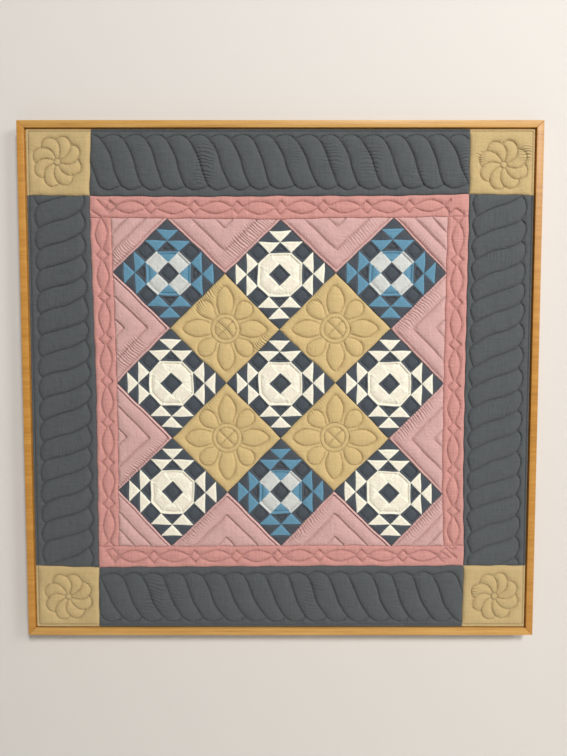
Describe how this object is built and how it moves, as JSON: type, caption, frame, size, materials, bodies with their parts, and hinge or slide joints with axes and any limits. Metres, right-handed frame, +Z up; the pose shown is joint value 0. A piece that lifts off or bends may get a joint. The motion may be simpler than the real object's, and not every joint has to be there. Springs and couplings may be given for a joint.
{
  "type": "patchwork wall quilt in a wooden floater frame",
  "caption": "Square patchwork wall quilt with star blocks on point, quilted flowers and cable borders, held flat in a plain oak floater frame.",
  "frame": {"origin": "middle of the top rail's back face, where the frame hangs on a wall", "axes": "+Z up, the quilt faces -Y, the frame's back lies in the plane y = 0 with the wall on its +Y side, +X to the right of someone facing the quilt"},
  "size_m": [1.2664, 0.04, 1.2664],
  "materials": {
    "cream_patchwork": "matt plain cotton, cream with charcoal patches",
    "blue_patchwork": "matt plain cotton, blue and pale grey with charcoal patches",
    "tan_cotton": "matt plain tan cotton with quilting in matching thread",
    "blush_cotton": "matt plain pale pink cotton",
    "rose_cotton": "matt plain dusty pink cotton",
    "slate_cotton": "matt plain slate grey cotton",
    "oak": "clear satin oak"
  },
  "bodies": {
    "root": {"block_top_left": "blue_patchwork", "block_top_centre": "cream_patchwork", "block_top_right": "blue_patchwork", "block_middle_left": "cream_patchwork", "block_middle_centre": "cream_patchwork", "block_middle_right": "cream_patchwork", "block_bottom_left": "cream_patchwork", "block_bottom_centre": "blue_patchwork", "block_bottom_right": "cream_patchwork", "plain_block_upper_left": "tan_cotton", "plain_block_upper_right": "tan_cotton", "plain_block_lower_left": "tan_cotton", "plain_block_lower_right": "tan_cotton", "side_triangle_top_1": "blush_cotton", "side_triangle_top_2": "blush_cotton", "side_triangle_left_1": "blush_cotton", "side_triangle_left_2": "blush_cotton", "side_triangle_bottom_1": "blush_cotton", "side_triangle_bottom_2": "blush_cotton", "side_triangle_right_1": "blush_cotton", "side_triangle_right_2": "blush_cotton", "corner_triangle_top_right": "blush_cotton", "corner_triangle_top_left": "blush_cotton", "corner_triangle_bottom_left": "blush_cotton", "corner_triangle_bottom_right": "blush_cotton", "inner_strip_top": "rose_cotton", "inner_strip_left": "rose_cotton", "inner_strip_bottom": "rose_cotton", "inner_strip_right": "rose_cotton", "outer_border_top": "slate_cotton", "outer_border_left": "slate_cotton", "outer_border_bottom": "slate_cotton", "outer_border_right": "slate_cotton", "corner_square_top_right": "tan_cotton", "corner_square_top_left": "tan_cotton", "corner_square_bottom_left": "tan_cotton", "corner_square_bottom_right": "tan_cotton", "frame_rail_top": "oak", "frame_rail_right": "oak", "frame_rail_bottom": "oak", "frame_rail_left": "oak"}
  },
  "joints": []
}
